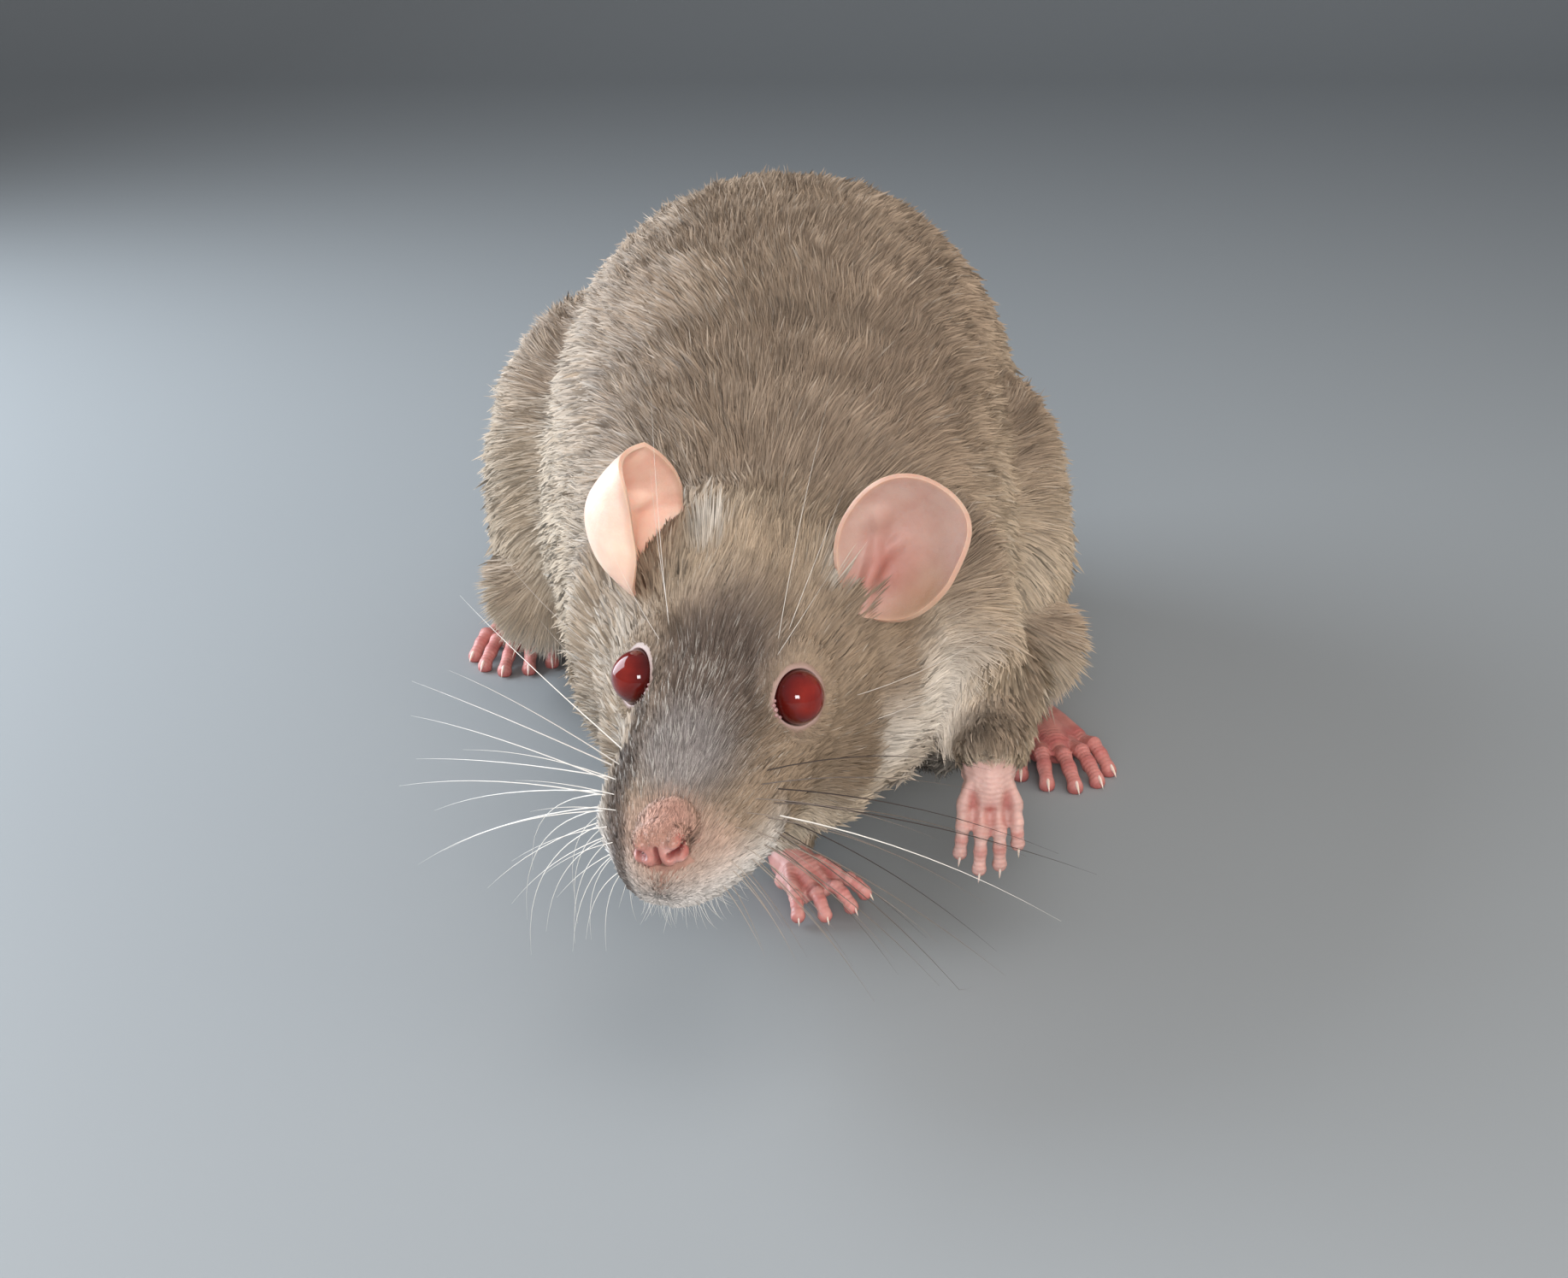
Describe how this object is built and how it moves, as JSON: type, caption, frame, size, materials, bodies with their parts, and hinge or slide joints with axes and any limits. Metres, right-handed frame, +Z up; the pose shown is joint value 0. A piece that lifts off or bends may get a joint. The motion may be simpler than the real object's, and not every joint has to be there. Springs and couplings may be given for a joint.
{
  "type": "dumbo rat",
  "caption": "Life-size still model of a pet dumbo rat in mid-stride, head low, with cup-shaped low-set ears, a raised forepaw and a long tail laid on the floor.",
  "frame": {"origin": "centre of the model's box, at the level of the floor it stands on", "axes": "the rat faces -Y with its own left side towards +X; +Z up; the tail runs towards +Y"},
  "size_m": [0.1054, 0.3566, 0.0824],
  "materials": {
    "fur": "short soft taupe fur",
    "face_fur": "short grey fur, paler round the muzzle",
    "skin": "naked pink skin",
    "ear_skin": "thin pale pink skin with fine down",
    "eye": "glossy dark ruby",
    "tail_skin": "fine ringed scales"
  },
  "bodies": {
    "root": {"head": "face_fur", "neck": "fur", "torso": "fur", "foreleg_right": "fur", "foreleg_left": "fur", "hindleg_right": "fur", "hindleg_left": "fur", "eye_right": "eye", "eye_left": "eye", "ear_right": "ear_skin", "ear_left": "ear_skin", "forepaw_right": "skin", "forepaw_left": "skin", "hindpaw_right": "skin", "hindpaw_left": "skin", "tail_root": "tail_skin", "tail_middle": "tail_skin", "tail_rear": "tail_skin", "tail_tip": "tail_skin"}
  },
  "joints": []
}
